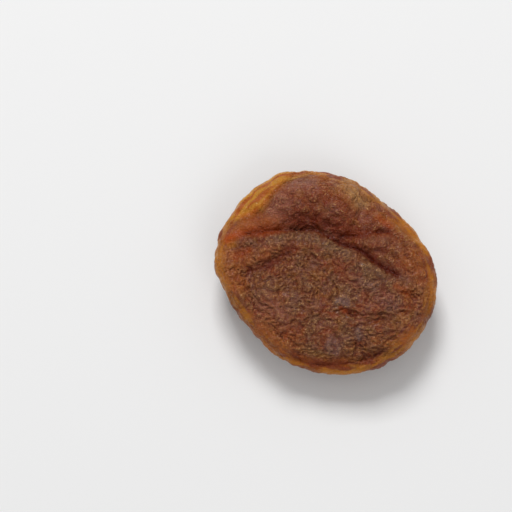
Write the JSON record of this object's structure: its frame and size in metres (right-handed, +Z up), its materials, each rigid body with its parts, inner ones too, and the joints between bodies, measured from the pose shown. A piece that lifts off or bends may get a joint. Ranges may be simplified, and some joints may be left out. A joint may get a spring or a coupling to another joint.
{
  "type": "dried apricot",
  "caption": "Whole dried apricot without its stone: a blunt-edged, wrinkled disc of brown fruit, folded over on one side, lying flat.",
  "frame": {"origin": "on the surface that the fruit lies on, under the middle of its outline", "axes": "+Z up through the thickness, +X along the greatest width, to the right when the folded side is at the back, +Y to the folded side"},
  "size_m": [0.0428, 0.0406, 0.0129],
  "materials": {
    "skin": "wrinkled dried fruit skin, dull on the flats, glossy and golden at the rim, red-brown in the folds"
  },
  "bodies": {
    "root": {"apricot": "skin"}
  },
  "joints": []
}
